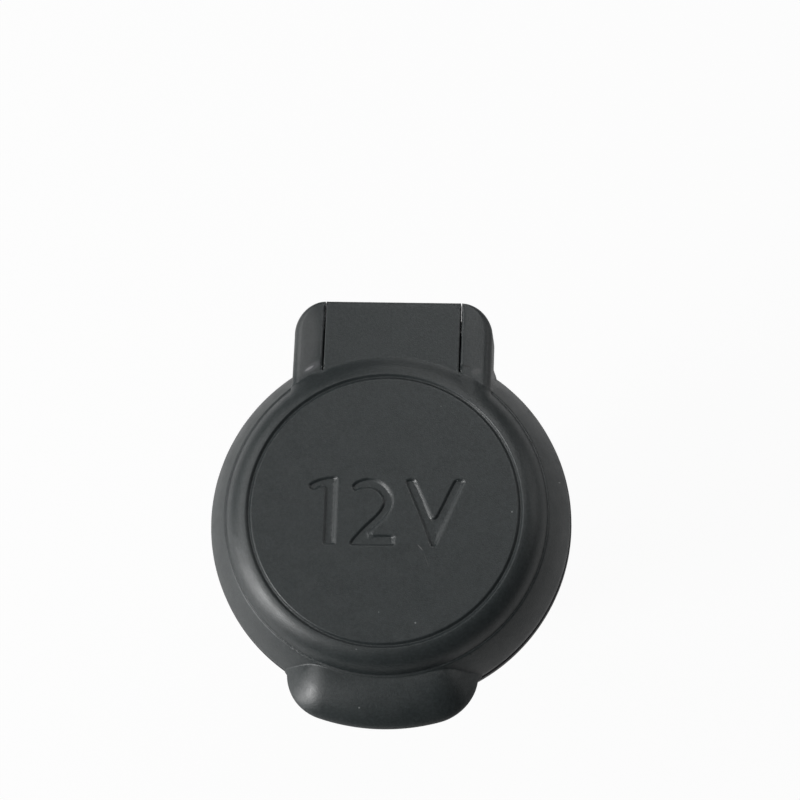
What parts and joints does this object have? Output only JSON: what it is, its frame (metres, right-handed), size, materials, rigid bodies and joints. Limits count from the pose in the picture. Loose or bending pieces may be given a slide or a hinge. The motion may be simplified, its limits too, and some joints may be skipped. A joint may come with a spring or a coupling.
{
  "type": "car 12v power socket",
  "caption": "Panel-mounted power socket for a vehicle console, with a hinged dust lid, snap-in sleeve, sheet-metal barrel and rear connector.",
  "frame": {"origin": "on the socket's axis, in the plane where the flange sits on the panel", "axes": "+Z along the plug's bore, out of the panel; +Y from the socket's axis toward the lid's hinge; +X to the right, seen from the front with the hinge at the top"},
  "size_m": [0.0364, 0.0423, 0.0613],
  "materials": {
    "lid_plastic": "black moulded plastic with a soft semi-matte gloss",
    "pin_steel": "drawn steel wire",
    "bezel_plastic": "black moulded plastic, fine matte grain",
    "barrel_nickel": "nickel-plated drawn steel",
    "insulator_phenolic": "brown pressed phenolic",
    "contact_brass": "spring brass strip",
    "rivet_brass": "brass rivet with an upset head",
    "connector_plastic": "natural glass-filled plastic",
    "terminal_tin": "tin-plated brass blade",
    "rivet_steel": "zinc-plated steel rivet"
  },
  "bodies": {
    "socket": {"bezel": "bezel_plastic", "socket_barrel": "barrel_nickel", "inner_insulator": "insulator_phenolic", "centre_contact": "contact_brass", "centre_rivet": "rivet_brass", "connector_body": "connector_plastic", "positive_terminal": "terminal_tin", "negative_terminal": "terminal_tin", "ground_rivet": "rivet_steel"},
    "lid": {"lid": "lid_plastic", "hinge_pin": "pin_steel"}
  },
  "joints": [
    {"name": "lid_hinge", "type": "hinge", "parent": "socket", "child": "lid", "pos_m": [0, 0.0187, 0.0037], "axis": [-1, 0, 0], "range_deg": [0, 100]}
  ]
}
